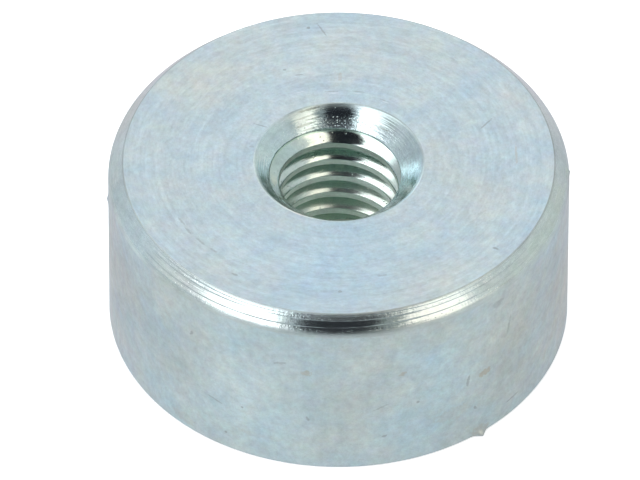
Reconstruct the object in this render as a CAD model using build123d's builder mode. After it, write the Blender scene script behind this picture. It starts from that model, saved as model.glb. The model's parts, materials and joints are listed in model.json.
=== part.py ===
"""Turned steel pot magnet with a countersunk threaded hole in its back.

The pot is one turned steel body.  A tapped hole runs down from the back face and breaks into a
round seat in the holding face.  The magnet disc fills the seat's depth, flush with the steel rim
round it, and resin fills the gap between the two.

Frame: millimetres, +Z up, origin at the centre of the holding face, threaded back face on top.
"""

import os

from build123d import *

# ---- Driving dimensions ----------------------------------------------------------------------

# Pot
pot_diameter = 16.0
pot_height = 7.0
pot_wall = 1.4  # steel rim that stands round the magnet
rim_chamfer = 0.52  # 45 degree chamfer round the back face
rim_edge_radius = 0.24  # soft lower edge of that chamfer
foot_edge_break = 0.08  # deburred outer edge of the holding face
seat_edge_break = 0.1  # deburred mouth of the magnet seat

# Tapped hole
thread_size = 5.0  # M5
thread_pitch = 0.8
countersink_margin = 0.42  # how far the countersink reaches past the thread, on the radius
countersink_angle = 90.0

# Magnet
magnet_thickness = 2.0
magnet_gap = 0.6  # radial gap between magnet and rim, filled with resin
magnet_edge_radius = 0.15

# ---- Sizes that follow -----------------------------------------------------------------------

# An internal ISO thread's minor diameter is its size less 1.0825 pitches
minor_diameter_pitches = 1.0825
thread_minor_radius = (thread_size - minor_diameter_pitches * thread_pitch) / 2
countersink_radius = thread_size / 2 + countersink_margin

pot_radius = pot_diameter / 2
seat_radius = pot_radius - pot_wall
magnet_radius = seat_radius - magnet_gap
hole_depth = pot_height - magnet_thickness
resin_height = magnet_thickness - seat_edge_break


# ---- Pot: the turned steel body --------------------------------------------------------------

with BuildPart() as pot:
    with BuildSketch(Plane.XY):
        Circle(pot_radius)
    extrude(amount=pot_height)

    outer_edges = pot.edges().filter_by(GeomType.CIRCLE).sort_by(Axis.Z)
    chamfer(outer_edges[-1], rim_chamfer)
    chamfer(outer_edges[0], foot_edge_break)
    rim_edges = pot.edges().filter_by(GeomType.CIRCLE).sort_by(Axis.Z)
    fillet(rim_edges[-2], rim_edge_radius)

    # Seat for the magnet, open at the holding face
    with BuildSketch(Plane.XY):
        Circle(seat_radius)
    extrude(amount=magnet_thickness, mode=Mode.SUBTRACT)
    holding_face_edges = pot.edges().filter_by(GeomType.CIRCLE).group_by(Axis.Z)[0]
    seat_mouth = holding_face_edges.sort_by(SortBy.RADIUS)[0]
    chamfer(seat_mouth, seat_edge_break)

    # Countersunk tapped hole, from the back face through to the seat
    with Locations(Plane.XY.offset(pot_height)):
        CounterSinkHole(
            radius=thread_minor_radius,
            counter_sink_radius=countersink_radius,
            depth=hole_depth,
            counter_sink_angle=countersink_angle,
        )


# ---- Magnet disc -----------------------------------------------------------------------------

with BuildPart() as magnet_disc:
    with BuildSketch(Plane.XY):
        Circle(magnet_radius)
    extrude(amount=magnet_thickness)
    fillet(magnet_disc.edges().filter_by(GeomType.CIRCLE), magnet_edge_radius)


# ---- Potting ring: resin in the gap round the magnet -----------------------------------------

with BuildPart() as potting_ring:
    with BuildSketch(Plane.XY.offset(seat_edge_break)):
        Circle(seat_radius)
    extrude(amount=resin_height)
    add(magnet_disc.part, mode=Mode.SUBTRACT)


# ---- Export ----------------------------------------------------------------------------------

pot.part.label = "pot"
magnet_disc.part.label = "magnet_disc"
potting_ring.part.label = "potting_ring"

os.makedirs("parts", exist_ok=True)
export_step(pot.part, "parts/pot.step")
export_step(magnet_disc.part, "parts/magnet_disc.step")
export_step(potting_ring.part, "parts/potting_ring.step")
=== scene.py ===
"""Looks of a turned, zinc-plated pot magnet with a countersunk threaded hole.

The pot's visible body is one mesh: its turned section is revolved with the shallow steps that the
tool left, and the hole's wall is the helical thread where it meets the countersink. Sizes are
in millimetres until a mesh, a shader or the camera takes them.
"""

import json
import math
from collections import namedtuple

import bpy
from mathutils import Matrix, Vector, noise


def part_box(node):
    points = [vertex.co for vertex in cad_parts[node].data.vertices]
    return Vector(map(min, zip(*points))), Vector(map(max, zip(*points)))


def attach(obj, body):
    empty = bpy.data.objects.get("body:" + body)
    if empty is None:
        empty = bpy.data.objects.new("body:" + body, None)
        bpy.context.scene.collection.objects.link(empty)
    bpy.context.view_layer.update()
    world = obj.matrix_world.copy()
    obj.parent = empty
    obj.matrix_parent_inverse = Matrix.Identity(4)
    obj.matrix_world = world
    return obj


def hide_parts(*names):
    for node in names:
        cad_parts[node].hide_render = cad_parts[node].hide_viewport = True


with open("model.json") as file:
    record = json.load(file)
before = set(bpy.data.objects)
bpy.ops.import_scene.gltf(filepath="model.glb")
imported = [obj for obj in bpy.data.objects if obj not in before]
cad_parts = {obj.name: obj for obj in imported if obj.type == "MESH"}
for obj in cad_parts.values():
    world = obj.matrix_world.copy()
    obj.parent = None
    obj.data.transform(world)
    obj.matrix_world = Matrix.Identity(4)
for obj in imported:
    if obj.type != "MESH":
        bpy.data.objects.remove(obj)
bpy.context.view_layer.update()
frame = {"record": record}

MM = 0.001

# ---- Sizes, in millimetres ----

pot_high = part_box("pot")[1]
magnet_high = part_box("magnet_disc")[1]
resin_low, resin_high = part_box("potting_ring")
hole = next(m for m in frame["record"]["mounts"] if m["name"] == "threaded_hole")

POT_RADIUS = round(pot_high[0] / MM, 2)
POT_HEIGHT = round(pot_high[2] / MM, 2)
SEAT_RADIUS = round(resin_high[0] / MM, 2)
SEAT_DEPTH = round(magnet_high[2] / MM, 2)
MAGNET_RADIUS = round(magnet_high[0] / MM, 2)
RESIN_LEVEL = round(resin_low[2] / MM, 2)

RIM_CHAMFER = 0.52
RIM_TOP_ROUNDING = 0.04
RIM_LOW_ROUNDING = 0.40
MOUTH_ROUNDING = 0.12  # of the countersink's edge
FOOT_BREAK = 0.08
SEAT_BREAK = 0.10

THREAD_PITCH = 0.8
THREAD_MINOR_RADIUS = hole["dims"]["r_mm"]
THREAD_MAJOR_RADIUS = 2.5
THREAD_PHASE = 5.78  # height of the crest that faces the camera across the hole
COUNTERSINK_MARGIN = 0.42  # how far the countersink reaches past the thread
COUNTERSINK_RADIUS = THREAD_MAJOR_RADIUS + COUNTERSINK_MARGIN

MAGNET_EDGE = 0.15
MAGNET_EDGE_ROWS = 6
MENISCUS = 0.05  # how far the resin's face dips between magnet and pot
MENISCUS_ROWS = 8

SEGMENTS = 360

# ---- Camera ----

CAMERA_ELEVATION = math.radians(44.51)
CAMERA_ROLL = math.radians(-0.21)
CAMERA_DISTANCE = 558.9
CAMERA_LENS = 903.5
CAMERA_TARGET = (0, 0, 3.52)
FRAME_WIDTH_PIXELS = 640
TARGET_RIGHT_PIXELS = 18.56  # the target lies this far right of the frame's middle
TARGET_UP_PIXELS = 6.71
CAMERA_CLIP = (0.05, 10)  # metres

# ---- Mesh code ----


def metres(point):
    return tuple(c * MM for c in point)


def stood(name, data):
    """A new object in the scene."""
    made = bpy.data.objects.new(name, data)
    bpy.context.scene.collection.objects.link(made)
    return made


class Skin:
    """Points and faces of one closed mesh, gathered ring by ring."""

    def __init__(self):
        self.points = []
        self.faces = []
        self.finishes = []

    def ring(self, place):
        """Adds one ring of points; place(angle) gives radius and height. Returns its indices."""
        first = len(self.points)
        for i in range(SEGMENTS):
            angle = 2 * math.pi * i / SEGMENTS
            radius, height = place(angle)
            self.points.append((radius * math.cos(angle), radius * math.sin(angle), height))
        return list(range(first, first + SEGMENTS))

    def face(self, corners, finish):
        """Adds a face without the corners that repeat, or none if too few are left."""
        kept = [c for i, c in enumerate(corners) if c != corners[i - 1]]
        if len(kept) > 2:
            self.faces.append(kept)
            self.finishes.append(finish)

    def band(self, upper, lower, finish):
        """Joins two rings with a band of faces whose outside is on the right, going down."""
        for i in range(SEGMENTS):
            j = (i + 1) % SEGMENTS
            self.face((upper[i], lower[i], lower[j], upper[j]), finish)

    def cap(self, ring, height, finish):
        """Closes a ring with triangles to a point on the axis."""
        centre = len(self.points)
        self.points.append((0, 0, height))
        for i in range(SEGMENTS):
            self.face((ring[i - 1], ring[i], centre), finish)

    def piece(self, name, materials):
        mesh = bpy.data.meshes.new(name)
        mesh.from_pydata([metres(point) for point in self.points], [], self.faces)
        for material in materials:
            mesh.materials.append(material)
        mesh.polygons.foreach_set("material_index", self.finishes)
        mesh.polygons.foreach_set("use_smooth", [True] * len(self.faces))
        mesh.validate()
        mesh.update()
        return stood(name, mesh)


def arc(centre, radius, start, end, steps):
    """Points on an arc in the section plane, from start to end in degrees, both ends included."""
    turn = [math.radians(start + (end - start) * i / steps) for i in range(steps + 1)]
    return [(centre[0] + radius * math.cos(a), centre[1] + radius * math.sin(a)) for a in turn]


def smooth_max(a, b, softness):
    """The larger of two values, rounded over where they meet."""
    h = max(softness - abs(a - b), 0) / softness
    return max(a, b) + h * h * softness / 4


# ---- The pot's outside ----

# The pot's finishes, in the order of its materials
FACE, SIDE, EDGE, RIM, SINK, FLANK, CREST, ROOT, SEAT = range(9)

RIM_SLANT = RIM_CHAMFER * math.sqrt(2)
HALF_BEND = math.tan(math.pi / 8)  # a rounding's tangent length for each millimetre of its radius

# The steps that the tool left in the rim chamfer: place and width as shares of the slant, counted
# from the back face, and the slope of the step itself in degrees
RIM_STEPS = (
    (0.15, 0.036, 20),
    (0.355, 0.044, 20),
    (0.67, 0.050, 22),
)
STEP_WANDER = 0.07  # how far they move up and down the slant, and how often in a turn
STEP_WANDER_TURNS = 1.6
WIDTH_WANDER = 0.6  # the same for their widths
WIDTH_WANDER_TURNS = 7
WANDERS_APART = 4.7
STEP_FADE = (0.47, 0.70)  # they run out to the sides, between these cosines of the angle to the front
LEAST_STEP = 0.15
BAND_ROWS = (0, 0.08, 0.5, 0.92)
STEP_ROWS = (0, 0.2, 0.5, 0.8)
RIM_END_LIFT = -0.029  # how far the last band's end stands proud of the plain chamfer
RIM_START = RIM_TOP_ROUNDING * HALF_BEND / RIM_SLANT
RIM_END = 1 - (RIM_END_LIFT + RIM_LOW_ROUNDING * HALF_BEND) / RIM_SLANT
RIM_LAST = 6.28  # the rim's finish goes down to this height, in its lower rounding

FACE_ROWS = (0.02, 0.25, 0.5, 0.75, 0.98)  # shares of the back face's width
SIDE_ROWS = (6.2, 5.9, 5.6, 5.45, 5.35, 5.3, 5.25, 5.15, 5.0, 4.5, 3.5, 2.5, 1.5, 0.9, 0.6,
             0.45, 0.35, 0.28, 0.22, 0.17, 0.12)  # heights, closer together where the burrs are
FOOT_ROW = 0.5  # a row on the foot, this far in
BEND_ROWS = 4
RIM_LOW_ROWS = 9


def wander(angle, turns, row):
    """A slow wander from -1 to 1 along the circumference, another one for each row."""
    across, along = turns * math.cos(angle), turns * math.sin(angle)
    return noise.noise(Vector((across, along, WANDERS_APART * row)))


def step_depth(angle):
    """How deep the steps are, as a share: whole at the front and least at the sides and the rear."""
    low, high = STEP_FADE
    near = min(max((-math.sin(angle) - low) / (high - low), 0), 1)
    return LEAST_STEP + (1 - LEAST_STEP) * near * near * (3 - 2 * near)


def rim_corners(angle):
    """Where the chamfer's bands and steps meet: share of the slant, and the lift there in mm."""
    steps = []
    for number, (place, width, slope) in enumerate(RIM_STEPS):
        place += STEP_WANDER * wander(angle, STEP_WANDER_TURNS, number)
        width *= 1 + WIDTH_WANDER * wander(angle, WIDTH_WANDER_TURNS, number + 10)
        drop = width * RIM_SLANT * math.tan(math.radians(slope)) * step_depth(angle)
        steps.append((place - width / 2, width, drop))
    rise = RIM_END_LIFT + sum(drop for _, _, drop in steps)
    tilt = rise / (RIM_END - RIM_START - sum(width for _, width, _ in steps))
    corners = [(RIM_START, 0)]
    for place, width, drop in steps:
        start, lift = corners[-1]
        lift += (place - start) * tilt
        corners += [(place, lift), (place + width, lift - drop)]
    return corners + [(RIM_END, RIM_END_LIFT)]


def rim_place(share, lift):
    """Radius and height at a share of the slant, lifted off the plain chamfer."""
    step, proud = RIM_CHAMFER * share, lift / math.sqrt(2)
    return POT_RADIUS - RIM_CHAMFER + step + proud, POT_HEIGHT - step + proud


def rim_rings(skin):
    """Rings down the rim chamfer, between its upper rounding and its lower one."""
    rings = []
    for stretch in range(2 * len(RIM_STEPS) + 1):
        for part in STEP_ROWS if stretch % 2 else BAND_ROWS:
            def place(angle, stretch=stretch, part=part):
                start, end = rim_corners(angle)[stretch:stretch + 2]
                return rim_place(*(a + (b - a) * part for a, b in zip(start, end)))
            rings.append(skin.ring(place))
    rings.append(skin.ring(lambda angle: rim_place(RIM_END, RIM_END_LIFT)))
    return rings


# Plating burrs on the outline: angle from the front towards +X in degrees, height, reach, width
BURRS = (
    (38, 0.05, 0.21, 0.17),
    (-89, 5.3, 0.05, 0.1),
    (91, 6.45, 0.06, 0.1),
)


def burr_reach(angle, height):
    """How far the burrs stand out of the side at one place."""
    reach = 0
    for around, up, out, width in BURRS:
        middle = math.radians(around - 90)
        aside = (angle - middle + math.pi) % (2 * math.pi) - math.pi
        away = math.hypot(aside * POT_RADIUS, height - up) / width
        reach += out * math.exp(-away * away)
    return reach


def plain_ring(skin, radius, height):
    return skin.ring(lambda angle: (radius, height))


def side_ring(skin, radius, height):
    return skin.ring(lambda angle: (radius + burr_reach(angle, height), height))


def outside(skin, hole_mouth, hole_end):
    """Everything of the pot but the hole's wall, from the countersink's edge round to the seat."""
    face_edge = POT_RADIUS - RIM_CHAMFER - RIM_TOP_ROUNDING * HALF_BEND
    rings = [(hole_mouth, SINK)]
    mouth = (COUNTERSINK_RADIUS + MOUTH_ROUNDING * HALF_BEND, POT_HEIGHT - MOUTH_ROUNDING)
    for radius, height in arc(mouth, MOUTH_ROUNDING, 135, 90, BEND_ROWS)[1:]:
        rings.append((plain_ring(skin, radius, height), SINK))
    for share in FACE_ROWS:
        radius = mouth[0] + (face_edge - mouth[0]) * share
        rings.append((plain_ring(skin, radius, POT_HEIGHT), FACE))
    centre = (face_edge, POT_HEIGHT - RIM_TOP_ROUNDING)
    for radius, height in arc(centre, RIM_TOP_ROUNDING, 90, 45, BEND_ROWS)[:-1]:
        rings.append((plain_ring(skin, radius, height), FACE if height == POT_HEIGHT else EDGE))
    worn = 2 * (len(BAND_ROWS) + len(STEP_ROWS))  # the first two bands, worn by handling
    rings += [(ring, EDGE if number < worn else RIM) for number, ring in enumerate(rim_rings(skin))]
    low_edge = POT_HEIGHT - RIM_CHAMFER + RIM_END_LIFT * math.sqrt(2)
    centre = (POT_RADIUS - RIM_LOW_ROUNDING, low_edge - RIM_LOW_ROUNDING * HALF_BEND)
    for radius, height in arc(centre, RIM_LOW_ROUNDING, 45, 0, RIM_LOW_ROWS)[1:]:
        rings.append((side_ring(skin, radius, height), RIM if height > RIM_LAST else SIDE))
    for height in SIDE_ROWS + (FOOT_BREAK,):
        rings.append((side_ring(skin, POT_RADIUS, height), SIDE))
    rings.append((side_ring(skin, POT_RADIUS - FOOT_BREAK / 3, FOOT_BREAK / 3), SIDE))
    rings.append((side_ring(skin, POT_RADIUS - FOOT_BREAK, 0), SEAT))
    underside = [(POT_RADIUS - FOOT_ROW, 0), (SEAT_RADIUS + SEAT_BREAK, 0)]
    underside += [(SEAT_RADIUS, SEAT_BREAK), (SEAT_RADIUS, SEAT_DEPTH)]
    for radius, height in underside:
        rings.append((plain_ring(skin, radius, height), SEAT))
    rings.append((hole_end, SEAT))
    for (upper, _), (lower, finish) in zip(rings, rings[1:]):
        skin.band(upper, lower, finish)


# ---- The threaded hole ----

# Places along the axis are counted down from the middle of a crest
HALF_CREST = 0.12
THREAD_DEPTH = THREAD_MAJOR_RADIUS - THREAD_MINOR_RADIUS
FLANK_ANGLE = 30
FLANK_DROP = THREAD_DEPTH * math.tan(math.radians(FLANK_ANGLE))
HALF_PITCH = THREAD_PITCH / 2
HALF_ROWS = (0, 0.04, 0.075, 0.10, 0.12, 0.14, 0.165, 0.20, 0.235, 0.27, 0.305, 0.335, 0.365)
THREAD_ROWS = HALF_ROWS + (HALF_PITCH,) + tuple(THREAD_PITCH - s for s in HALF_ROWS[:0:-1])
CREST_ROUNDING = 0.06
ROOT_ROUNDING = 0.18
CREST_EDGES = (-0.09, 0.15)  # the crest's finish goes from the one to the other
ROOT_EDGE = -0.32  # and the flank's from here to the crest's middle, where the crest's isn't
SINK_END = 6.30  # above this height the shallow end of the groove has the countersink's finish
LIP_ROUNDING = (0.04, 0.15)  # where the thread cuts the countersink: in front and at the rear
SMALLEST_STEP = 0.001  # rows closer than this to either end of the wall fold onto it
MOUTH_BEND = MOUTH_ROUNDING * HALF_BEND
MOUTH_LEVEL = POT_HEIGHT - MOUTH_BEND / math.sqrt(2)  # where the cone runs into its rounded mouth


def nearest_crest(drop):
    """The drop from the nearest crest's middle, from minus to plus half a pitch."""
    return (drop + HALF_PITCH) % THREAD_PITCH - HALF_PITCH


def groove_radius(drop):
    """The thread's radius at a drop below a crest's middle."""
    rise = (abs(nearest_crest(drop)) - HALF_CREST) / FLANK_DROP * THREAD_DEPTH
    rise = smooth_max(rise, 0, CREST_ROUNDING)
    return THREAD_MINOR_RADIUS + THREAD_DEPTH - smooth_max(THREAD_DEPTH - rise, 0, ROOT_ROUNDING)


def cone_radius(height):
    return COUNTERSINK_RADIUS - (POT_HEIGHT - height)


def climb_at(angle):
    """How much higher the thread lies at an angle than at the rear."""
    return THREAD_PITCH * (angle - math.pi / 2) / (2 * math.pi)


def hole_radius(angle, height):
    """The wall's radius: the wider of the countersink and the thread."""
    least, most = LIP_ROUNDING
    rounding = least + (most - least) * max(math.sin(angle), 0) ** 4
    groove = groove_radius(THREAD_PHASE + climb_at(angle) - height)
    return smooth_max(cone_radius(height), groove, rounding)


def wall_finish(first_crest, drop, column):
    """Which finish the wall has at a drop below the first crest, in one column of the mesh."""
    height = first_crest + climb_at(2 * math.pi * column / SEGMENTS) - drop
    if cone_radius(height) > groove_radius(drop) or height > SINK_END:
        return SINK
    below = nearest_crest(drop)
    if CREST_EDGES[0] < below < CREST_EDGES[1]:
        return CREST
    return FLANK if ROOT_EDGE < below < 0 else ROOT


def threaded_hole(skin):
    """The helical wall, whose rows follow the thread and fold onto its ends. Returns both ends."""
    turns = math.ceil((POT_HEIGHT - SEAT_DEPTH) / THREAD_PITCH) + 2
    first_crest = THREAD_PHASE + 2 * THREAD_PITCH
    drops = [k * THREAD_PITCH + s for k in range(turns) for s in THREAD_ROWS]
    index = {}

    def point(column, row):
        angle = 2 * math.pi * column / SEGMENTS
        height = first_crest + climb_at(angle) - drops[row]
        if column == SEGMENTS:  # back at the first column, one pitch up
            column, row = 0, row - len(THREAD_ROWS)
        if height < SEAT_DEPTH + SMALLEST_STEP:
            height, row = SEAT_DEPTH, "end"
        if height > MOUTH_LEVEL - SMALLEST_STEP:
            height, row = MOUTH_LEVEL, "mouth"
        if (column, row) not in index:
            radius = hole_radius(angle, height)
            index[column, row] = len(skin.points)
            skin.points.append((radius * math.cos(angle), radius * math.sin(angle), height))
        return index[column, row]

    for row in range(len(drops) - 1):
        drop = (drops[row] + drops[row + 1]) / 2
        for i in range(SEGMENTS):
            corners = (point(i, row), point(i + 1, row), point(i + 1, row + 1), point(i, row + 1))
            skin.face(corners, wall_finish(first_crest, drop, i))
    return [[index[i, key] for i in range(SEGMENTS)] for key in ("mouth", "end")]


def round_piece(name, section, materials, finishes):
    """A solid of revolution from a section of (radius, height) going down, closed on the axis."""
    skin = Skin()
    rings = [plain_ring(skin, radius, height) for radius, height in section]
    skin.cap(rings[0], section[0][1], finishes[0])
    for upper, lower, finish in zip(rings, rings[1:], finishes):
        skin.band(upper, lower, finish)
    skin.cap(rings[-1][::-1], section[-1][1], finishes[-1])
    return skin.piece(name, materials)


# ---- Node helpers ----


def feed(tree, socket, value):
    """Links a socket to a socket, or sets it to a plain value."""
    if isinstance(value, bpy.types.NodeSocket):
        tree.links.new(value, socket)
    else:
        socket.default_value = value


def node(tree, kind, out=0, settings=(), **inputs):
    """Adds a node, sets its properties, feeds its named or numbered inputs, returns one output."""
    made = tree.nodes.new("ShaderNode" + kind)
    for key, value in dict(settings).items():
        setattr(made, key, value)
    for key, value in inputs.items():
        name = int(key[1:]) if key[0] == "i" and key[1:].isdigit() else key.replace("_", " ")
        feed(tree, made.inputs[name], value)
    return made.outputs[out]


def maths(tree, operation, a, b=0.0, c=0.0, clamp=False):
    settings = {"operation": operation, "use_clamp": clamp}
    return node(tree, "Math", settings=settings, i0=a, i1=b, i2=c)


def mixed(tree, share, a, b):
    made = tree.nodes.new("ShaderNodeMix")
    made.data_type = "RGBA"
    feed(tree, made.inputs["Factor"], share)
    feed(tree, made.inputs[6], a)
    feed(tree, made.inputs[7], b)
    return made.outputs[2]


def times(tree, *values):
    """The product of two or more values."""
    total = values[0]
    for value in values[1:]:
        total = maths(tree, "MULTIPLY", total, value)
    return total


def vectors(tree, operation, a, **inputs):
    """Vector maths: a number for a length, a distance or a dot product, and else a vector."""
    out = 1 if operation in ("LENGTH", "DISTANCE", "DOT_PRODUCT") else 0
    return node(tree, "VectorMath", out, {"operation": operation}, i0=a, **inputs)


def ramp(tree, value, low, high):
    """0 below low, 1 above high, smooth between."""
    settings = {"interpolation_type": "SMOOTHSTEP"}
    return node(tree, "MapRange", settings=settings, Value=value, From_Min=low, From_Max=high)


def fall(tree, value, low, high):
    """1 below low, 0 above high, smooth between."""
    return maths(tree, "SUBTRACT", 1.0, ramp(tree, value, low, high))


def split(tree, vector):
    apart = tree.nodes.new("ShaderNodeSeparateXYZ")
    tree.links.new(vector, apart.inputs[0])
    return apart.outputs


def group(name, inputs, outputs):
    """A new shader node group with a Place, inputs that have defaults, and typed outputs."""
    tree = bpy.data.node_groups.new(name, "ShaderNodeTree")
    inputs = {"Place": (0.0, 0.0, 0.0), **inputs}
    for label, default in inputs.items():
        kind = {3: "Vector", 4: "Color"}[len(default)] if isinstance(default, tuple) else "Float"
        socket = tree.interface.new_socket(label, in_out="INPUT", socket_type="NodeSocket" + kind)
        socket.default_value = default
    for label, kind in outputs.items():
        tree.interface.new_socket(label, in_out="OUTPUT", socket_type="NodeSocket" + kind)
    return tree, tree.nodes.new("NodeGroupInput").outputs, tree.nodes.new("NodeGroupOutput").inputs


def placed(tree, which, **inputs):
    """Places a group in a material and feeds its inputs; returns its outputs."""
    made = tree.nodes.new("ShaderNodeGroup")
    made.node_tree = which
    for key, value in inputs.items():
        feed(tree, made.inputs[key.replace("_", " ")], value)
    return made.outputs


# ---- Shader groups ----


def turned_spot(tree, place, climb, breaks, lines):
    """A noise coordinate that follows the turning: slow round the axis and quick across it.

    climb is what a millimetre of height adds to the radius: -1 on a 45 degree slope, for example.
    """
    x, y, z = split(tree, place)
    flat = node(tree, "CombineXYZ", X=x, Y=y)
    around = vectors(tree, "NORMALIZE", flat)
    around = vectors(tree, "SCALE", around, Scale=maths(tree, "DIVIDE", breaks, 2 * math.pi))
    across = maths(tree, "MULTIPLY_ADD", z, climb, vectors(tree, "LENGTH", flat))
    across = times(tree, across, 1 / MM, lines)
    return vectors(tree, "ADD", around, i1=node(tree, "CombineXYZ", Z=across))


def drawn_out_noise(tree, given, breaks, lines, detail, roughness):
    """Noise along the turning, in a group that has a Place and a Climb."""
    spot = turned_spot(tree, given["Place"], given["Climb"], breaks, lines)
    return node(tree, "TexNoise", Vector=spot, Scale=1.0, Detail=detail, Roughness=roughness)


def tool_lines_group():
    """Fine lines that a lathe tool leaves round the axis, as a height about 0.5."""
    inputs = {"Lines per mm": 8.0, "Breaks per turn": 6.0, "Climb": 0.0}
    tree, given, result = group("tool_lines", inputs, {"Height": "Float"})
    lines = drawn_out_noise(tree, given, given["Breaks per turn"], given["Lines per mm"], 2.0, 0.6)
    tree.links.new(lines, result["Height"])
    return tree


def uneven(tree, value, amount):
    """A factor about 1 that follows a noise value, by a share."""
    return maths(tree, "MULTIPLY_ADD", maths(tree, "SUBTRACT", value, 0.5), amount, 1.0)


ARCS_PER_TURN = 9.0  # the long turning marks: how often they break, and how close they lie
ARCS_PER_MM = 7.0
CLOUDS_PER_MM = 0.7
GREENS_PER_MM = 1.6  # small patches that are greener or redder
GREEN_AMOUNT = 0.15


def plating_group():
    """Passivated zinc: cool and warm patches, clouds, and grain drawn out along the turning."""
    inputs = {
        "Climb": 0.0,
        "Cool": (0.55, 0.68, 0.8, 1),
        "Warm": (0.68, 0.7, 0.66, 1),
        "Warmth": 0.0,
        "Shade": 1.0,
        "Patch Contrast": 1.9,
        "Cloud Amount": 0.36,
        "Streak Amount": 0.55,
        "Patches per mm": 0.3,
        "Streaks per turn": 60.0,
        "Streaks per mm": 3.0,
        "Arc Amount": 0.0,
    }
    tree, given, result = group("zinc_plating", inputs, {"Color": "Color", "Grain": "Float"})
    place = given["Place"]
    patches = maths(tree, "DIVIDE", given["Patches per mm"], MM)
    hue = node(tree, "TexNoise", Vector=place, Scale=patches, Detail=5.0, Roughness=0.75)
    hue = maths(tree, "SUBTRACT", hue, 0.5)
    hue = maths(tree, "MULTIPLY_ADD", hue, given["Patch Contrast"], 0.5)
    hue = maths(tree, "ADD", hue, given["Warmth"], clamp=True)
    colour = mixed(tree, hue, given["Cool"], given["Warm"])
    clouds = node(tree, "TexNoise", Vector=place, Scale=CLOUDS_PER_MM / MM, Detail=3.0, Roughness=0.9)
    clouds = uneven(tree, clouds, given["Cloud Amount"])
    grain = drawn_out_noise(tree, given, given["Streaks per turn"], given["Streaks per mm"], 4.0, 0.9)
    streaks = uneven(tree, grain, given["Streak Amount"])
    arcs = drawn_out_noise(tree, given, ARCS_PER_TURN, ARCS_PER_MM, 2.0, 0.6)
    arcs = uneven(tree, arcs, given["Arc Amount"])
    shade = times(tree, clouds, streaks, arcs, given["Shade"])
    green = node(tree, "TexNoise", Vector=place, Scale=GREENS_PER_MM / MM, Detail=2.0, Roughness=0.8)
    greener = maths(tree, "MULTIPLY", shade, uneven(tree, green, GREEN_AMOUNT))
    shading = node(tree, "CombineXYZ", X=shade, Y=greener, Z=shade)
    tree.links.new(vectors(tree, "MULTIPLY", colour, i1=shading), result["Color"])
    tree.links.new(grain, result["Grain"])
    return tree


PIT_SIZE = 0.35  # as a share of a cell's width


def pits_group():
    """Scattered tiny pits, as a height that drops below 1 inside each."""
    inputs = {"Cells per mm": 8.0, "Share": 0.3}
    tree, given, result = group("pits", inputs, {"Height": "Float"})
    scale = maths(tree, "DIVIDE", given["Cells per mm"], MM)
    away = node(tree, "TexVoronoi", 0, Vector=given["Place"], Scale=scale)
    colour = node(tree, "TexVoronoi", 1, Vector=given["Place"], Scale=scale)
    chosen = maths(tree, "LESS_THAN", node(tree, "SeparateColor", Color=colour), given["Share"])
    dip = times(tree, fall(tree, away, 0.0, PIT_SIZE), chosen)
    tree.links.new(maths(tree, "SUBTRACT", 1.0, dip), result["Height"])
    return tree


RAGS_PER_MM = 9  # the ragged edges of marks: how fine, how strong and how soft
RAGGEDNESS = 2.4
MARK_EDGE = (0.3, 1.1)


def mark_group():
    """One scratch, speck or stain with a ragged edge: 1 inside and 0 outside."""
    inputs = {"At": (0.0, 0.0, 0.0), "Along": (1.0, 0.0, 0.0), "Half Length": 0.3, "Half Width": 0.05}
    tree, given, result = group("mark", inputs, {"Mask": "Float"})
    away = vectors(tree, "SUBTRACT", given["Place"], i1=given["At"])
    away = vectors(tree, "SCALE", away, Scale=1 / MM)
    along = vectors(tree, "DOT_PRODUCT", away, i1=given["Along"])
    far = vectors(tree, "LENGTH", away)
    aside = maths(tree, "SUBTRACT", times(tree, far, far), times(tree, along, along))
    aside = maths(tree, "SQRT", maths(tree, "MAXIMUM", aside, 0.0))
    reach = maths(tree, "DIVIDE", along, given["Half Length"])
    breadth = maths(tree, "DIVIDE", aside, given["Half Width"])
    off = maths(tree, "ADD", times(tree, reach, reach), times(tree, breadth, breadth))
    ragged = node(tree, "TexNoise", Vector=given["Place"], Scale=RAGS_PER_MM / MM, Detail=2.0)
    off = maths(tree, "MULTIPLY_ADD", maths(tree, "SUBTRACT", ragged, 0.5), RAGGEDNESS, off)
    tree.links.new(fall(tree, off, *MARK_EDGE), result["Mask"])
    return tree


def patch_group():
    """A wide soft patch round a point: 1 in its middle and 0 from its reach on."""
    inputs = {"At": (0.0, 0.0, 0.0), "Reach": 3.0}
    tree, given, result = group("patch", inputs, {"Mask": "Float"})
    away = vectors(tree, "DISTANCE", given["Place"], i1=given["At"])
    tree.links.new(fall(tree, away, 0.0, times(tree, given["Reach"], MM)), result["Mask"])
    return tree


TOOL_LINES = tool_lines_group()
PLATING = plating_group()
PITS = pits_group()
MARK = mark_group()
PATCH = patch_group()


# ---- Wear and dirt ----

SOOT = (0.3, 0.33, 0.34, 1)
RUST = (0.5, 0.42, 0.3, 1)
GLINT = (0.8, 0.88, 0.95, 1)

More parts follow.
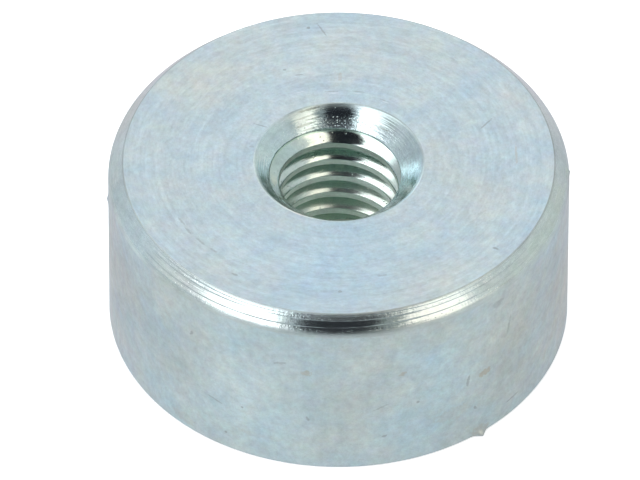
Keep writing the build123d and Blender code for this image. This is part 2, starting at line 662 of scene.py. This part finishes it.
# On the back face: x and y, heading in degrees, length and width, colour, strength
FACE_MARKS = (
    (-0.61, 6.6, -62, 0.85, 0.07, SOOT, 0.45),
    (-1.08, 6.7, 20, 0.16, 0.12, SOOT, 0.6),
    (5.1, 1.9, 52, 0.75, 0.07, SOOT, 0.5),
    (-2.72, 1.79, -22, 0.54, 0.07, SOOT, 0.5),
    (-3.01, 0.74, 0, 0.2, 0.12, SOOT, 0.3),
    (6.15, 0.45, 92, 1.2, 0.1, RUST, 0.3),
    (5.41, -4.25, -20, 0.26, 0.1, SOOT, 0.6),
    (0.06, -6.4, 5, 0.16, 0.12, SOOT, 0.5),
    (0.04, 4.23, 88, 0.5, 0.16, RUST, 0.25),
    (-1.9, 4.58, 0, 0.14, 0.1, SOOT, 0.5),
    (-3.56, -5.58, -30, 0.3, 0.1, SOOT, 0.45),
    (1.5, -5.6, 10, 0.4, 0.09, SOOT, 0.35),
    (-5.42, -2.98, -60, 0.5, 0.1, SOOT, 0.35),
    (-5.18, -3.45, -56, 0.4, 0.09, SOOT, 0.35),
    (-4.75, -3.98, -50, 0.5, 0.09, SOOT, 0.32),
    (-4.3, -4.4, -42, 0.45, 0.09, SOOT, 0.32),
    (-1.4, 4.33, 8, 0.34, 0.07, SOOT, 0.45),
    (-0.26, 3.5, 2, 0.6, 0.06, SOOT, 0.38),
    (0.7, 3.49, -8, 0.55, 0.06, SOOT, 0.35),
    (1.54, 3.08, -26, 0.4, 0.06, SOOT, 0.35),
    (-0.2, 3.42, 3, 0.5, 0.06, GLINT, 0.6),
    (0.6, 3.41, -8, 0.4, 0.06, GLINT, 0.5),
    (1.6, 2.98, -28, 0.35, 0.05, GLINT, 0.5),
    (-1.33, 3.47, 16, 0.45, 0.05, GLINT, 0.5),
)

# Round the side: degrees from the front towards +X, height, slope in degrees, then as above
SIDE_MARKS = (
    (-39.2, 4.77, 70, 0.3, 0.14, SOOT, 0.5),
    (38, 0.15, 0, 0.8, 0.7, RUST, 0.28),
    (-24.5, 2.24, 0, 0.14, 0.12, SOOT, 0.6),
    (-29, 0.75, 0, 0.14, 0.11, SOOT, 0.6),
    (-7.5, 2.34, -60, 0.26, 0.12, SOOT, 0.5),
    (-14.4, 4.86, 15, 0.55, 0.14, SOOT, 0.35),
    (-7.8, 4.54, 0, 0.4, 0.3, RUST, 0.4),
    (-32.2, 2.13, -14, 0.75, 0.07, SOOT, 0.4),
    (39.2, 2.9, 10, 0.6, 0.34, RUST, 0.5),
    (34.2, 2.9, 80, 0.55, 0.16, SOOT, 0.45),
    (16.2, 4.3, 30, 0.3, 0.24, RUST, 0.35),
    (11, 2.85, 25, 0.7, 0.09, SOOT, 0.3),
    (11.6, 1.42, 20, 0.2, 0.12, SOOT, 0.5),
    (20.2, 2.76, 0, 0.13, 0.12, SOOT, 0.5),
    (36.4, 1.42, -50, 0.2, 0.13, SOOT, 0.5),
    (49, 0.74, 5, 0.75, 0.09, SOOT, 0.4),
    (43.5, 5.87, 10, 0.5, 0.34, SOOT, 0.3),
    (47.5, 4.5, 78, 0.9, 0.12, SOOT, 0.3),
    (30, 1.6, 0, 1.6, 0.7, RUST, 0.14),
    (-41.8, 0.45, 0, 1.2, 0.5, RUST, 0.18),
    (-20, 1.1, 0, 2.2, 0.25, RUST, 0.1),
)

# On the countersink, bands of painted shade that dim the soft boxes' reflections: degrees from the
# rear towards +X, height, length and width, strength
SINK_SHADE_BANDS = (
    (-21, 6.935, 1.15, 0.1, 0.6),
    (-27, 6.78, 1, 0.07, 0.45),
    (-20, 6.7, 0.8, 0.06, 0.4),
    (-26, 6.6, 1.1, 0.1, 0.45),
    (-24, 6.47, 1, 0.09, 0.45),
    (34, 6.62, 0.9, 0.08, 0.45),
)
# Painted shade: the colour that darkens those bands
SINK_PAINTED_SHADE = (0.22, 0.25, 0.22, 1)

# Wide patches. Each has its place and its reach, and the third number is its strength.
# TONES, and the painted light and shade, make the colour lighter, or darker where the number is below
# 0
FACE_TONES = (
    ((0, -5.5, 7), 5, -0.025),
    ((0, 4.5, 7), 5, 0.03),
)
SIDE_TONES = (
    ((-7.3, -3.3, 3.3), 3.6, -0.09),
    ((-5.7, -5.6, 3.2), 2.2, -0.09),
    ((6.1, -5.2, 2.8), 2.2, -0.09),
    ((-3.1, -7.4, 3.2), 3, 0.09),
    ((0, -8, 3), 2.2, -0.04),
    ((1.2, -7.9, 5.4), 1.8, 0.09),
    ((3.6, -7.1, 4.2), 3, 0.09),
    ((7.4, -2.8, 4.6), 2.6, -0.08),
)
# Painted light and shade on the countersink: lighter on the near side and at the left, darker at the
# right and where the soft boxes' reflections reach too far at the rear
SINK_LIGHT_AND_SHADE = (
    ((2.6, 0.4, 6.6), 2.4, -0.16),
    ((-2.6, -0.2, 6.6), 2.1, 0.22),
    ((0, -2.7, 6.6), 2.6, 0.15),
    ((2.5, -1, 6.6), 1.7, 0.62),
    ((-1.4, -2.2, 6.6), 1.7, 0.9),
    ((1.65, 2.25, 6.75), 0.95, -0.35),
    ((-1.5, 2.35, 6.8), 0.75, -0.36),
)
# Painted shade on the thread's flank: it dims the soft box's reflection on the first flank at the
# right, and the groove's shallow end at the left
FLANK_PAINTED_SHADE = (
    ((2.1, 0.6, 5.8), 1.2, -0.4),
    ((-2.1, 0.9, 6.2), 1.1, -0.13),
)
RIM_TONES = (
    ((-6.7, -3.6, 6.75), 3.2, 0.11),
    ((7.8, 0.2, 6.75), 3.2, -0.1),
)

# PATCHES make it warmer, or cooler
FACE_PATCHES = (
    ((0.1, -4.9, 7), 4, -0.18),
    ((-3.3, -4.8, 7), 1.6, -0.22),
    ((3.3, -4.8, 7), 1.6, -0.2),
    ((-6.6, 1.3, 7), 1.8, 0.14),
    ((-4.9, -5.1, 7), 2, 0.2),
    ((-4.8, -2.9, 7), 2.4, -0.2),
    ((-5.2, -0.4, 7), 2.4, -0.08),
    ((5.7, 0.3, 7), 2.2, -0.25),
    ((3.2, 4.1, 7), 2.4, 0.15),
    ((0, 5.6, 7), 2.2, 0.12),
    ((4.9, -1.9, 7), 2.4, 0.25),
    ((-4.4, 3.8, 7), 2.6, 0.25),
    ((3.4, -5.6, 7), 2.2, 0.2),
)
SIDE_PATCHES = (
    ((6.2, -5.1, 3.2), 4.2, 0.2),
    ((-3.1, -7.4, 3.2), 2.4, 0.14),
    ((-1.4, -7.9, 1), 1.6, 0.22),
    ((-6, -5.3, 3.6), 2.2, -0.12),
    ((8, 0, 3.5), 5, 0.3),
    ((-4, -6.9, 4), 4, -0.12),
    ((2.9, -7.5, 1.7), 2.5, -0.25),
    ((-8, -1, 3.5), 3, 0.15),
)
SINK_PATCHES = (
    ((-2.2, 0.9, 6.25), 1.6, -0.6),
    ((2.3, -1.3, 6.5), 2.2, -0.6),
)
FLANK_PATCHES = (
    ((2.1, 0.6, 5.9), 1.6, -0.9),
    ((-2.1, 0.9, 6.2), 1.6, -0.9),
)

# CALM makes the tool lines shallower
SINK_CALM = (
    ((0, -3.4, 6.7), 5.6, 0.9),
    ((2.9, 0.2, 6.7), 2.4, 0.65),
    ((-2.9, 0.2, 6.7), 2, 0.5),
)
RIM_CALM = (
    ((-7.7, -1.5, 6.7), 5.5, 0.85),
    ((7.7, -1.5, 6.7), 5.5, 0.85),
)


def face_marks():
    """Each mark of the back face as place, direction, size, colour and strength."""
    for x, y, heading, length, width, colour, strength in FACE_MARKS:
        turn = math.radians(heading)
        along = (math.cos(turn), math.sin(turn), 0)
        yield metres((x, y, POT_HEIGHT)), along, length, width, colour, strength


def side_marks():
    for around, height, slope, length, width, colour, strength in SIDE_MARKS:
        turn, rise = math.radians(around - 90), math.radians(slope)
        at = (POT_RADIUS * math.cos(turn), POT_RADIUS * math.sin(turn), height)
        along = (-math.sin(turn) * math.cos(rise), math.cos(turn) * math.cos(rise), math.sin(rise))
        yield metres(at), along, length, width, colour, strength


# The countersink's bands of painted shade, laid on as marks
def sink_shade_bands():
    for around, height, length, width, strength in SINK_SHADE_BANDS:
        turn = math.radians(around)
        radius = cone_radius(height)
        at = (radius * math.sin(turn), radius * math.cos(turn), height)
        along = (math.cos(turn), -math.sin(turn), 0)
        yield metres(at), along, length, width, SINK_PAINTED_SHADE, strength


# ---- Materials ----


def blank_material(name):
    material = bpy.data.materials.new(name)
    material.use_nodes = True
    tree = material.node_tree
    shader = tree.nodes["Principled BSDF"]
    return material, tree, shader.inputs


def object_place(tree):
    """The place on the object, in metres."""
    return node(tree, "TexCoord", 3)


def marked(tree, place, colour, marks):
    """The colour with each mark laid over it: stains, scratches, painted highlights and painted
    shade.
    """
    for at, along, length, width, stain_and_painted_light, strength in marks:
        size = {"Half Length": length / 2, "Half Width": width / 2}
        mask = placed(tree, MARK, Place=place, At=at, Along=along, **size)["Mask"]
        colour = mixed(tree, times(tree, mask, strength), colour, stain_and_painted_light)
    return colour


def patched(tree, place, patches):
    """The sum of wide soft patches, each with its place, reach and strength."""
    total = 0.0
    for at, reach, strength in patches:
        mask = placed(tree, PATCH, Place=place, At=metres(at), Reach=reach)["Mask"]
        total = maths(tree, "MULTIPLY_ADD", mask, strength, total)
    return total


Grade = namedtuple("Grade", "begin full low high")


def graded(tree, place, value):
    """A plain value as it is; a Grade runs from low to high between two heights."""
    if not isinstance(value, Grade):
        return value
    begin, full, low, high = value
    height = node(tree, "SeparateXYZ", 2, Vector=place)
    settings = {"interpolation_type": "SMOOTHSTEP"}
    return node(tree, "MapRange", settings=settings, Value=height, From_Min=begin * MM,
                From_Max=full * MM, To_Min=low, To_Max=high)


EDGE_TINT = (1.0, 0.93, 0.97, 1)
LINE_SPREAD = (0.3, 0.7)  # the heights of most tool lines


def tool_lines(per_mm, breaks, climb=0.0):
    return {"Lines per mm": per_mm, "Breaks per turn": breaks, "Climb": climb}


def pitting(per_mm, share):
    return {"Cells per mm": per_mm, "Share": share}


def zinc_material(name, cool, warm, tint, lines, pits, heights, roughness, metallic=1.0,
                  dulling=(), cuts=(), calm=(), marks=(), patches=(), tones=()):
    """Bright zinc plating over a turned surface.

    tint, lines and pits are values for the three groups, with the plating's cool and warm colours
    apart from them. heights are those of the tool lines, the grain and the pits in mm. Each of cuts
    is a further set of tool lines: its values, height and share, which may be a Grade. calm are
    patches where tool lines are shallower, patches those that are warmer and tones those that are
    lighter or darker; on the countersink and the thread's flank the tones are painted light and
    shade.
    marks are laid over the colour: stains and scratches, a few painted highlights on the back face
    and painted shade on the countersink. roughness runs from the deep tool lines to the high ones,
    and each dulling adds to it between two heights.
    """
    material, tree, shader = blank_material(name)
    place = object_place(tree)
    tint = {key: graded(tree, place, value) for key, value in tint.items()}
    if tones:
        lighter = maths(tree, "ADD", patched(tree, place, tones), 1.0)
        tint["Shade"] = times(tree, lighter, tint.get("Shade", 1.0))
    tint.update(Climb=lines["Climb"], Warmth=patched(tree, place, patches))
    plated = placed(tree, PLATING, Place=place, Cool=cool, Warm=warm, **tint)
    turned = placed(tree, TOOL_LINES, Place=place, **lines)
    pits = {key: graded(tree, place, value) for key, value in pits.items()}
    pitted = placed(tree, PITS, Place=place, **pits)
    feed(tree, shader["Metallic"], graded(tree, place, metallic))
    shader["Specular Tint"].default_value = EDGE_TINT
    tree.links.new(marked(tree, place, plated["Color"], marks), shader["Base Color"])
    ends = dict(zip(("From_Min", "From_Max", "To_Min", "To_Max"), LINE_SPREAD + roughness))
    rough = node(tree, "MapRange", Value=turned["Height"], **ends)
    for begin, full, gain in dulling:
        rough = maths(tree, "ADD", rough, graded(tree, place, Grade(begin, full, 0.0, gain)))
    tree.links.new(rough, shader["Roughness"])
    layers = [(plated["Grain"], heights[1]), (pitted["Height"], heights[2])]
    depth_share = maths(tree, "SUBTRACT", 1.0, patched(tree, place, calm), clamp=True)
    sets = [(turned["Height"], heights[0], 1.0)]
    for values, depth, share in cuts:
        sets.append((placed(tree, TOOL_LINES, Place=place, **values)["Height"], depth, share))
    for cut, depth, share in sets:
        cut = maths(tree, "SUBTRACT", cut, 0.5)
        layers.append((times(tree, cut, graded(tree, place, share), depth_share), depth))
    bump = None
    for height, depth in layers:
        under = {"Normal": bump} if bump else {}
        bump = node(tree, "Bump", Height=height, Distance=depth * MM, Strength=1.0, **under)
    tree.links.new(bump, shader["Normal"])
    return material


def pot_materials():
    """One material for each finish, in the order of the finishes."""
    face = zinc_material(
        "zinc_back_face",
        (0.49, 0.685, 0.835, 1), (0.655, 0.7, 0.665, 1),
        {"Patch Contrast": 1.6, "Patches per mm": 0.36, "Cloud Amount": 0.28, "Streak Amount": 0.68,
         "Streaks per turn": 100, "Streaks per mm": 4.6, "Arc Amount": 0.26},
        tool_lines(12, 60), pitting(5, 0.1), (0.003, 0.001, 0.001), (0.34, 0.46),
        marks=face_marks(), patches=FACE_PATCHES, tones=FACE_TONES)
    side = zinc_material(
        "zinc_side",
        (0.52, 0.705, 0.8, 1), (0.67, 0.715, 0.665, 1),
        {"Streak Amount": 0.6, "Streaks per turn": 145, "Streaks per mm": 3},
        tool_lines(6, 150, 1), pitting(5, 0.1), (0.001, 0.001, 0.001), (0.34, 0.44),
        marks=side_marks(), patches=SIDE_PATCHES, tones=SIDE_TONES)
    rim_cuts = tool_lines(2, 260, -1)
    # The edge's Shade grade makes its colour darker towards the top of the chamfer
    edge = zinc_material(
        "zinc_worn_edge",
        (0.56, 0.68, 0.73, 1), (0.62, 0.69, 0.67, 1),
        {"Shade": Grade(6.94, 6.985, 1, 0.78)},
        tool_lines(10, 40, -1), pitting(13, 1), (0.008, 0.001, 0.003), (0.16, 0.25),
        metallic=0.93, dulling=((6.945, 6.985, 0.25),), cuts=((rim_cuts, 0.006, 1),),
        calm=RIM_CALM, tones=RIM_TONES)
    rim = zinc_material(
        "zinc_rim_chamfer",
        (0.56, 0.68, 0.72, 1), (0.63, 0.69, 0.66, 1), {},
        tool_lines(9, 30, -1), pitting(13, Grade(6.66, 6.52, 0.04, 0.4)),
        (0.007, 0.001, 0.004), (0.1, 0.17), metallic=0.985, dulling=((6.6, 6.42, 0.24),),
        cuts=((rim_cuts, 0.006, Grade(6.66, 6.5, 0.45, 1)),), calm=RIM_CALM, tones=RIM_TONES)
    # The countersink's tones and its banded marks are painted light and shade
    sink = zinc_material(
        "zinc_countersink",
        (0.55, 0.7, 0.755, 1), (0.61, 0.705, 0.69, 1),
        {"Shade": Grade(6.955, 6.985, 1, 0.92), "Arc Amount": 0.25},
        tool_lines(9, 9, 1), pitting(15, Grade(6.72, 6.64, 0.04, 0.6)),
        (0.014, 0.001, 0.006), (0.07, 0.14), metallic=Grade(6.72, 6.4, 0.99, 0.9),
        dulling=((6.8, 6.97, 0.2), (6.72, 6.6, 0.05)),
        cuts=((tool_lines(4, 4, 1), 0.014, 1),
              (tool_lines(11, 80, 1), 0.014, Grade(6.78, 6.64, 0, 0.7))),
        calm=SINK_CALM, marks=sink_shade_bands(), patches=SINK_PATCHES, tones=SINK_LIGHT_AND_SHADE)
    thread_lines, thread_pits = tool_lines(9, 20, 1), pitting(9, 0.2)
    # The flank's tones are painted shade over its reflections
    flank = zinc_material(
        "zinc_thread_flank",
        (0.56, 0.7, 0.69, 1), (0.66, 0.69, 0.61, 1),
        {"Cloud Amount": 0.15},
        thread_lines, pitting(9, 0.15), (0.003, 0.001, 0.005), (0.09, 0.14),
        metallic=Grade(5.6, 2.4, 1, 0.74), dulling=((6, 3, 0.1),), patches=FLANK_PATCHES,
        tones=FLANK_PAINTED_SHADE)
    # Painted light and shade: the crest's near-white colour brightens the crests deep in the hole,
    # and its Shade grade makes those near the mouth darker
    crest = zinc_material(
        "zinc_thread_crest",
        (0.76, 0.91, 0.9, 1), (0.82, 0.91, 0.84, 1),
        {"Shade": Grade(5.7, 4.2, 0.74, 1)},
        thread_lines, thread_pits, (0.002, 0.001, 0.002), (0.32, 0.46),
        metallic=Grade(6, 4.4, 0.8, 0))
    # Painted light: the Shade grade makes the roots lighter deep in the hole
    root = zinc_material(
        "zinc_thread_root",
        (0.46, 0.65, 0.61, 1), (0.53, 0.66, 0.56, 1),
        {"Shade": Grade(4.6, 2.4, 0.97, 1.4)},
        thread_lines, thread_pits, (0.003, 0.001, 0.003), (0.2, 0.3),
        metallic=Grade(6.2, 4.2, 0.95, 0.1))
    seat = zinc_material(
        "zinc_foot",
        (0.56, 0.66, 0.7, 1), (0.6, 0.66, 0.66, 1), {},
        tool_lines(10, 12), pitting(5, 0.1), (0.003, 0.001, 0.001), (0.25, 0.35))
    return [face, side, edge, rim, sink, flank, crest, root, seat]


NICKEL_GRAINS_PER_MM = 6
NICKEL_GRAIN_HEIGHT = 0.0008
RESIN_GRAINS_PER_MM = 2.6
RESIN_GRAIN_HEIGHT = 0.004
RESIN_DARK = (0.035, 0.036, 0.04, 1)
RESIN_PALE = (0.07, 0.07, 0.075, 1)


def magnet_material(name, cool, warm):
    """Plating without streaks. Returns the tree, its place on the object and its shader too."""
    material, tree, shader = blank_material(name)
    place = object_place(tree)
    plated = placed(tree, PLATING, Place=place, Cool=cool, Warm=warm, Streak_Amount=0.0)
    tree.links.new(plated["Color"], shader["Base Color"])
    return material, tree, place, shader


def grained(tree, shader, grain, height, roughness):
    """Lets a noise value set the roughness, between two values, and the bumps."""
    low, high = roughness
    feed(tree, shader["Roughness"], node(tree, "MapRange", Value=grain, To_Min=low, To_Max=high))
    tree.links.new(node(tree, "Bump", Height=grain, Distance=height * MM), shader["Normal"])


def nickel_material():
    cool, warm = (0.64, 0.63, 0.60, 1), (0.70, 0.64, 0.56, 1)
    material, tree, place, shader = magnet_material("nickel_plating", cool, warm)
    shader["Metallic"].default_value = 1.0
    grain = node(tree, "TexNoise", Vector=place, Scale=NICKEL_GRAINS_PER_MM / MM, Detail=3.0)
    grained(tree, shader, grain, NICKEL_GRAIN_HEIGHT, (0.2, 0.34))
    return material


def glued_face_material():
    """The magnet's upper face, dull with a film of the resin that holds it; its near-white colour is
    painted light that brightens the bottom of the hole.
    """
    cool, warm = (0.80, 0.88, 0.82, 1), (0.86, 0.88, 0.78, 1)
    material, _, _, shader = magnet_material("glued_nickel", cool, warm)
    shader["Metallic"].default_value = 0.1
    shader["Roughness"].default_value = 0.5
    return material


def resin_material():
    material, tree, shader = blank_material("potting_resin")
    place = object_place(tree)
    grain = node(tree, "TexNoise", Vector=place, Scale=RESIN_GRAINS_PER_MM / MM, Detail=4.0)
    tree.links.new(mixed(tree, grain, RESIN_DARK, RESIN_PALE), shader["Base Color"])
    grained(tree, shader, grain, RESIN_GRAIN_HEIGHT, (0.45, 0.7))
    return material


# ---- Pieces ----


def pot_piece():
    skin = Skin()
    outside(skin, *threaded_hole(skin))
    made = skin.piece("turned_pot", pot_materials())
    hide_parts("pot")
    return made


def magnet_piece():
    """The magnet, with its glued face on the inner half of its upper face."""
    bend, half = MAGNET_RADIUS - MAGNET_EDGE, MAGNET_RADIUS / 2
    low = arc((bend, MAGNET_EDGE), MAGNET_EDGE, -90, 0, MAGNET_EDGE_ROWS)
    high = arc((bend, SEAT_DEPTH - MAGNET_EDGE), MAGNET_EDGE, 0, 90, MAGNET_EDGE_ROWS)
    section = [(half, 0)] + low + high + [(half, SEAT_DEPTH)]
    finishes = [1] + [0] * (len(section) - 1)
    made = round_piece("magnet", section[::-1], [nickel_material(), glued_face_material()], finishes)
    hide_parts("magnet_disc")
    return made


def resin_piece():
    """The resin ring, a closed band whose face dips between the magnet and the pot."""
    skin = Skin()
    inner, outer = MAGNET_RADIUS, SEAT_RADIUS
    section = [(outer, SEAT_DEPTH), (outer, RESIN_LEVEL)]
    for row in range(1, MENISCUS_ROWS):
        share = row / MENISCUS_ROWS
        dip = MENISCUS * 4 * share * (1 - share)
        section.append((outer + (inner - outer) * share, RESIN_LEVEL + dip))
    section += [(inner, RESIN_LEVEL), (inner, SEAT_DEPTH)]
    rings = [plain_ring(skin, radius, height) for radius, height in section]
    for upper, lower in zip(rings, rings[1:] + rings[:1]):
        skin.band(upper, lower, 0)
    made = skin.piece("resin_ring", [resin_material()])
    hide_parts("potting_ring")
    return made


for piece in (pot_piece(), magnet_piece(), resin_piece()):
    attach(piece, "root")


# ---- Floor, studio and camera ----

FLOOR_PAINT = (0.85, 0.86, 0.87, 1)
FLOOR_REFLECTED_PAINT = (0.22, 0.23, 0.24, 1)
FLOOR_GLOW_COLOUR = (0.97, 0.99, 1, 1)
FLOOR_GLOW = 0.48
FLOOR_REFLECTED_GLOW = 0.49
BRIGHT_SPOT = (-7, -10, 0)  # where the floor's reflection is brightest, and how far that reaches
BRIGHT_REACH = (2, 16)
BRIGHT_GAIN = 0.10
BOX_GLOWS = (  # where the floor mirrors the soft boxes: place, reach and gain
    ((-34, -36, 0), 26, 0.8),
    ((34, -36, 0), 26, 0.4),
)
FRONT_SHADE = ((0, -52, 0), 46, 0.6)  # where its reflection is darkest, its reach, how dark


def floor_piece():
    """A pale floor, 2 m wide: white to the camera, still shaded where the part stands."""
    mesh = bpy.data.meshes.new("floor")
    mesh.from_pydata([(-1, -1, 0), (1, -1, 0), (1, 1, 0), (-1, 1, 0)], [], [(0, 1, 2, 3)])
    material, tree, _ = blank_material("pale_floor")
    tree.nodes.remove(tree.nodes["Principled BSDF"])
    rays = tree.nodes.new("ShaderNodeLightPath")
    reflected = rays.outputs["Is Glossy Ray"]
    lit = node(tree, "BsdfDiffuse", Color=mixed(tree, reflected, FLOOR_PAINT, FLOOR_REFLECTED_PAINT))
    seen = times(tree, rays.outputs["Is Camera Ray"], FLOOR_GLOW)
    place = object_place(tree)
    away = vectors(tree, "DISTANCE", place, i1=metres(BRIGHT_SPOT))
    near = fall(tree, away, *metres(BRIGHT_REACH))
    mirrored = maths(tree, "MULTIPLY_ADD", near, BRIGHT_GAIN, FLOOR_REFLECTED_GLOW)
    at, reach, share = FRONT_SHADE
    shade = placed(tree, PATCH, Place=place, At=metres(at), Reach=reach)["Mask"]
    mirrored = times(tree, mirrored, maths(tree, "MULTIPLY_ADD", shade, -share, 1.0))
    mirrored = maths(tree, "ADD", mirrored, patched(tree, place, BOX_GLOWS))
    glow = maths(tree, "MULTIPLY_ADD", mirrored, reflected, seen)
    glow = node(tree, "Emission", Color=FLOOR_GLOW_COLOUR, Strength=glow)
    both = node(tree, "AddShader", i0=lit, i1=glow)
    tree.links.new(both, tree.nodes["Material Output"].inputs[0])
    mesh.materials.append(material)
    stood("floor", mesh)


# The studio, by direction: x to the right of the camera, y away from it, z up. Each soft box
# starts at a distance from the middle plane, "most" at most, and ends at a distance to the back.
# Both lean with the height z: a value at BOX_LEVEL, what it gains by z, and how soft the edge is.
# The end is "front" for the low part and "end" above that, up to "back". The box fades in between
# the two heights of "low". Its fringe is a dim strip beside it: where it starts and is full, and
# its colour.
BOX_LEVEL = 0.69
LEFT_BOX = {
    "start": (0.355, -0.22, 0.04),
    "most": 1,
    "end": (0.13, 4.9, 0.16),
    "front": (-0.25, 0.9),
    "back": 0.18,
    "low": (0.08, 0.3),
    "colour": (2.6, 2.6, 2.6, 1),
    "fringe": ((0.25, 0.285), (0.56, 0.6, 0.62, 1)),
}
RIGHT_BOX = {
    "start": (0.43, -0.7, 0.025),
    "most": 0.57,
    "end": (-0.285, 1.27, 0.08),
    "front": (-0.285, 0.45),
    "back": 0.28,
    "low": (0.08, 0.3),
    "colour": (1.88, 1.72, 1.52, 1),
    "fringe": ((0.24, 0.28), (0.34, 0.37, 0.37, 1)),
}
FRONT_LOW_SURROUND = (0.5, 0.53, 0.545, 1)  # below FRONT_RAMP's heights, in front of the part
FRONT_RAMP = (0.05, 0.25)
LEFT_LOW_SURROUND = (0.63, 0.68, 0.72, 1)
RIGHT_LOW_SURROUND = (0.74, 0.755, 0.71, 1)
HIGH_SURROUND = (0.96, 0.95, 0.95, 1)
RIGHT_HIGH_SURROUND = (0.75, 0.79, 0.79, 1)
RIGHT_HIGH_RAMP = (0.35, 0.65)
SURROUND_RAMP = (0.2, 0.7)
FILL_COLOUR = (1.7, 1.7, 1.7, 1)  # light from overhead that reaches the bottom of the hole
FILL_RAMP = (0.85, 0.95)
GAP_COLOUR = (0.016, 0.018, 0.024, 1)
GAP_END = (-0.1, 0.2)
GAP_LOW_EDGE = (-0.3, 0.25)
LOW_SURROUND_RAMP = (-0.3, 0.3)  # from left to right
BACKDROP = (1, 1, 1, 1)  # as the camera sees it


def leaning_level(tree, z, level, gain):
    """The place of an edge that leans with the height."""
    return maths(tree, "MULTIPLY_ADD", z, gain, level - gain * BOX_LEVEL)


def soft_box(tree, aside, y, z, box):
    """Where one soft box is, the gap's colour with its fringe, and how far its start is passed."""
    level, gain, softness = box["start"]
    start = maths(tree, "MINIMUM", leaning_level(tree, z, level, gain), box["most"])
    past = maths(tree, "SUBTRACT", aside, start)
    beside = ramp(tree, past, -softness, softness)
    level, gain, softness = box["end"]
    end = leaning_level(tree, z, level, gain)
    end = maths(tree, "MAXIMUM", end, leaning_level(tree, z, *box["front"]))
    end = maths(tree, "MINIMUM", end, box["back"])
    before = ramp(tree, maths(tree, "SUBTRACT", end, y), -softness, softness)
    lit = times(tree, beside, before, ramp(tree, z, *box["low"]))
    (low, high), colour = box["fringe"]
    return lit, mixed(tree, ramp(tree, aside, low, high), GAP_COLOUR, colour), beside


def studio():
    """White surroundings, a large soft box on each side and a dark gap between them."""
    world = bpy.data.worlds.new("studio")
    bpy.context.scene.world = world
    world.use_nodes = True
    tree = world.node_tree
    tree.nodes.remove(tree.nodes["Background"])
    x, y, z = split(tree, node(tree, "TexCoord", 0))
    left, left_gap, beside_left = soft_box(tree, times(tree, x, -1.0), y, z, LEFT_BOX)
    right, right_gap, beside_right = soft_box(tree, x, y, z, RIGHT_BOX)
    before = fall(tree, y, *GAP_END)
    gap = maths(tree, "SUBTRACT", 1.0, maths(tree, "MAXIMUM", beside_left, beside_right))
    gap = times(tree, gap, before, ramp(tree, z, *GAP_LOW_EDGE))
    colour = mixed(tree, ramp(tree, x, *LOW_SURROUND_RAMP), LEFT_LOW_SURROUND, RIGHT_LOW_SURROUND)
    high = mixed(tree, ramp(tree, x, *RIGHT_HIGH_RAMP), HIGH_SURROUND, RIGHT_HIGH_SURROUND)
    colour = mixed(tree, ramp(tree, z, *SURROUND_RAMP), colour, high)
    under = times(tree, before, fall(tree, z, *FRONT_RAMP))
    colour = mixed(tree, under, colour, FRONT_LOW_SURROUND)
    dim = mixed(tree, maths(tree, "GREATER_THAN", x, 0.0), left_gap, right_gap)
    colour = mixed(tree, gap, colour, dim)
    colour = mixed(tree, left, colour, LEFT_BOX["colour"])
    colour = mixed(tree, right, colour, RIGHT_BOX["colour"])
    rays = tree.nodes.new("ShaderNodeLightPath")
    overhead = times(tree, ramp(tree, z, *FILL_RAMP), rays.outputs["Is Diffuse Ray"])
    colour = mixed(tree, overhead, colour, FILL_COLOUR)
    colour = mixed(tree, rays.outputs["Is Camera Ray"], colour, BACKDROP)
    shown = node(tree, "Background", Color=colour, Strength=1.0)
    tree.links.new(shown, tree.nodes["World Output"].inputs[0])


def camera():
    """The camera, turned to its target, with the frame shifted to put it off the middle."""
    back = Vector((0, -math.cos(CAMERA_ELEVATION), math.sin(CAMERA_ELEVATION)))
    lens = bpy.data.cameras.new("camera")
    lens.lens = CAMERA_LENS
    lens.shift_x = -TARGET_RIGHT_PIXELS / FRAME_WIDTH_PIXELS
    lens.shift_y = -TARGET_UP_PIXELS / FRAME_WIDTH_PIXELS
    lens.clip_start, lens.clip_end = CAMERA_CLIP
    made = stood("camera", lens)
    place = Matrix.Translation((Vector(CAMERA_TARGET) + back * CAMERA_DISTANCE) * MM)
    turn = (-back).to_track_quat("-Z", "Y").to_matrix().to_4x4()
    made.matrix_world = place @ turn @ Matrix.Rotation(-CAMERA_ROLL, 4, "Z")
    bpy.context.scene.camera = made


floor_piece()
studio()
camera()
bpy.context.scene.view_settings.view_transform = "Standard"
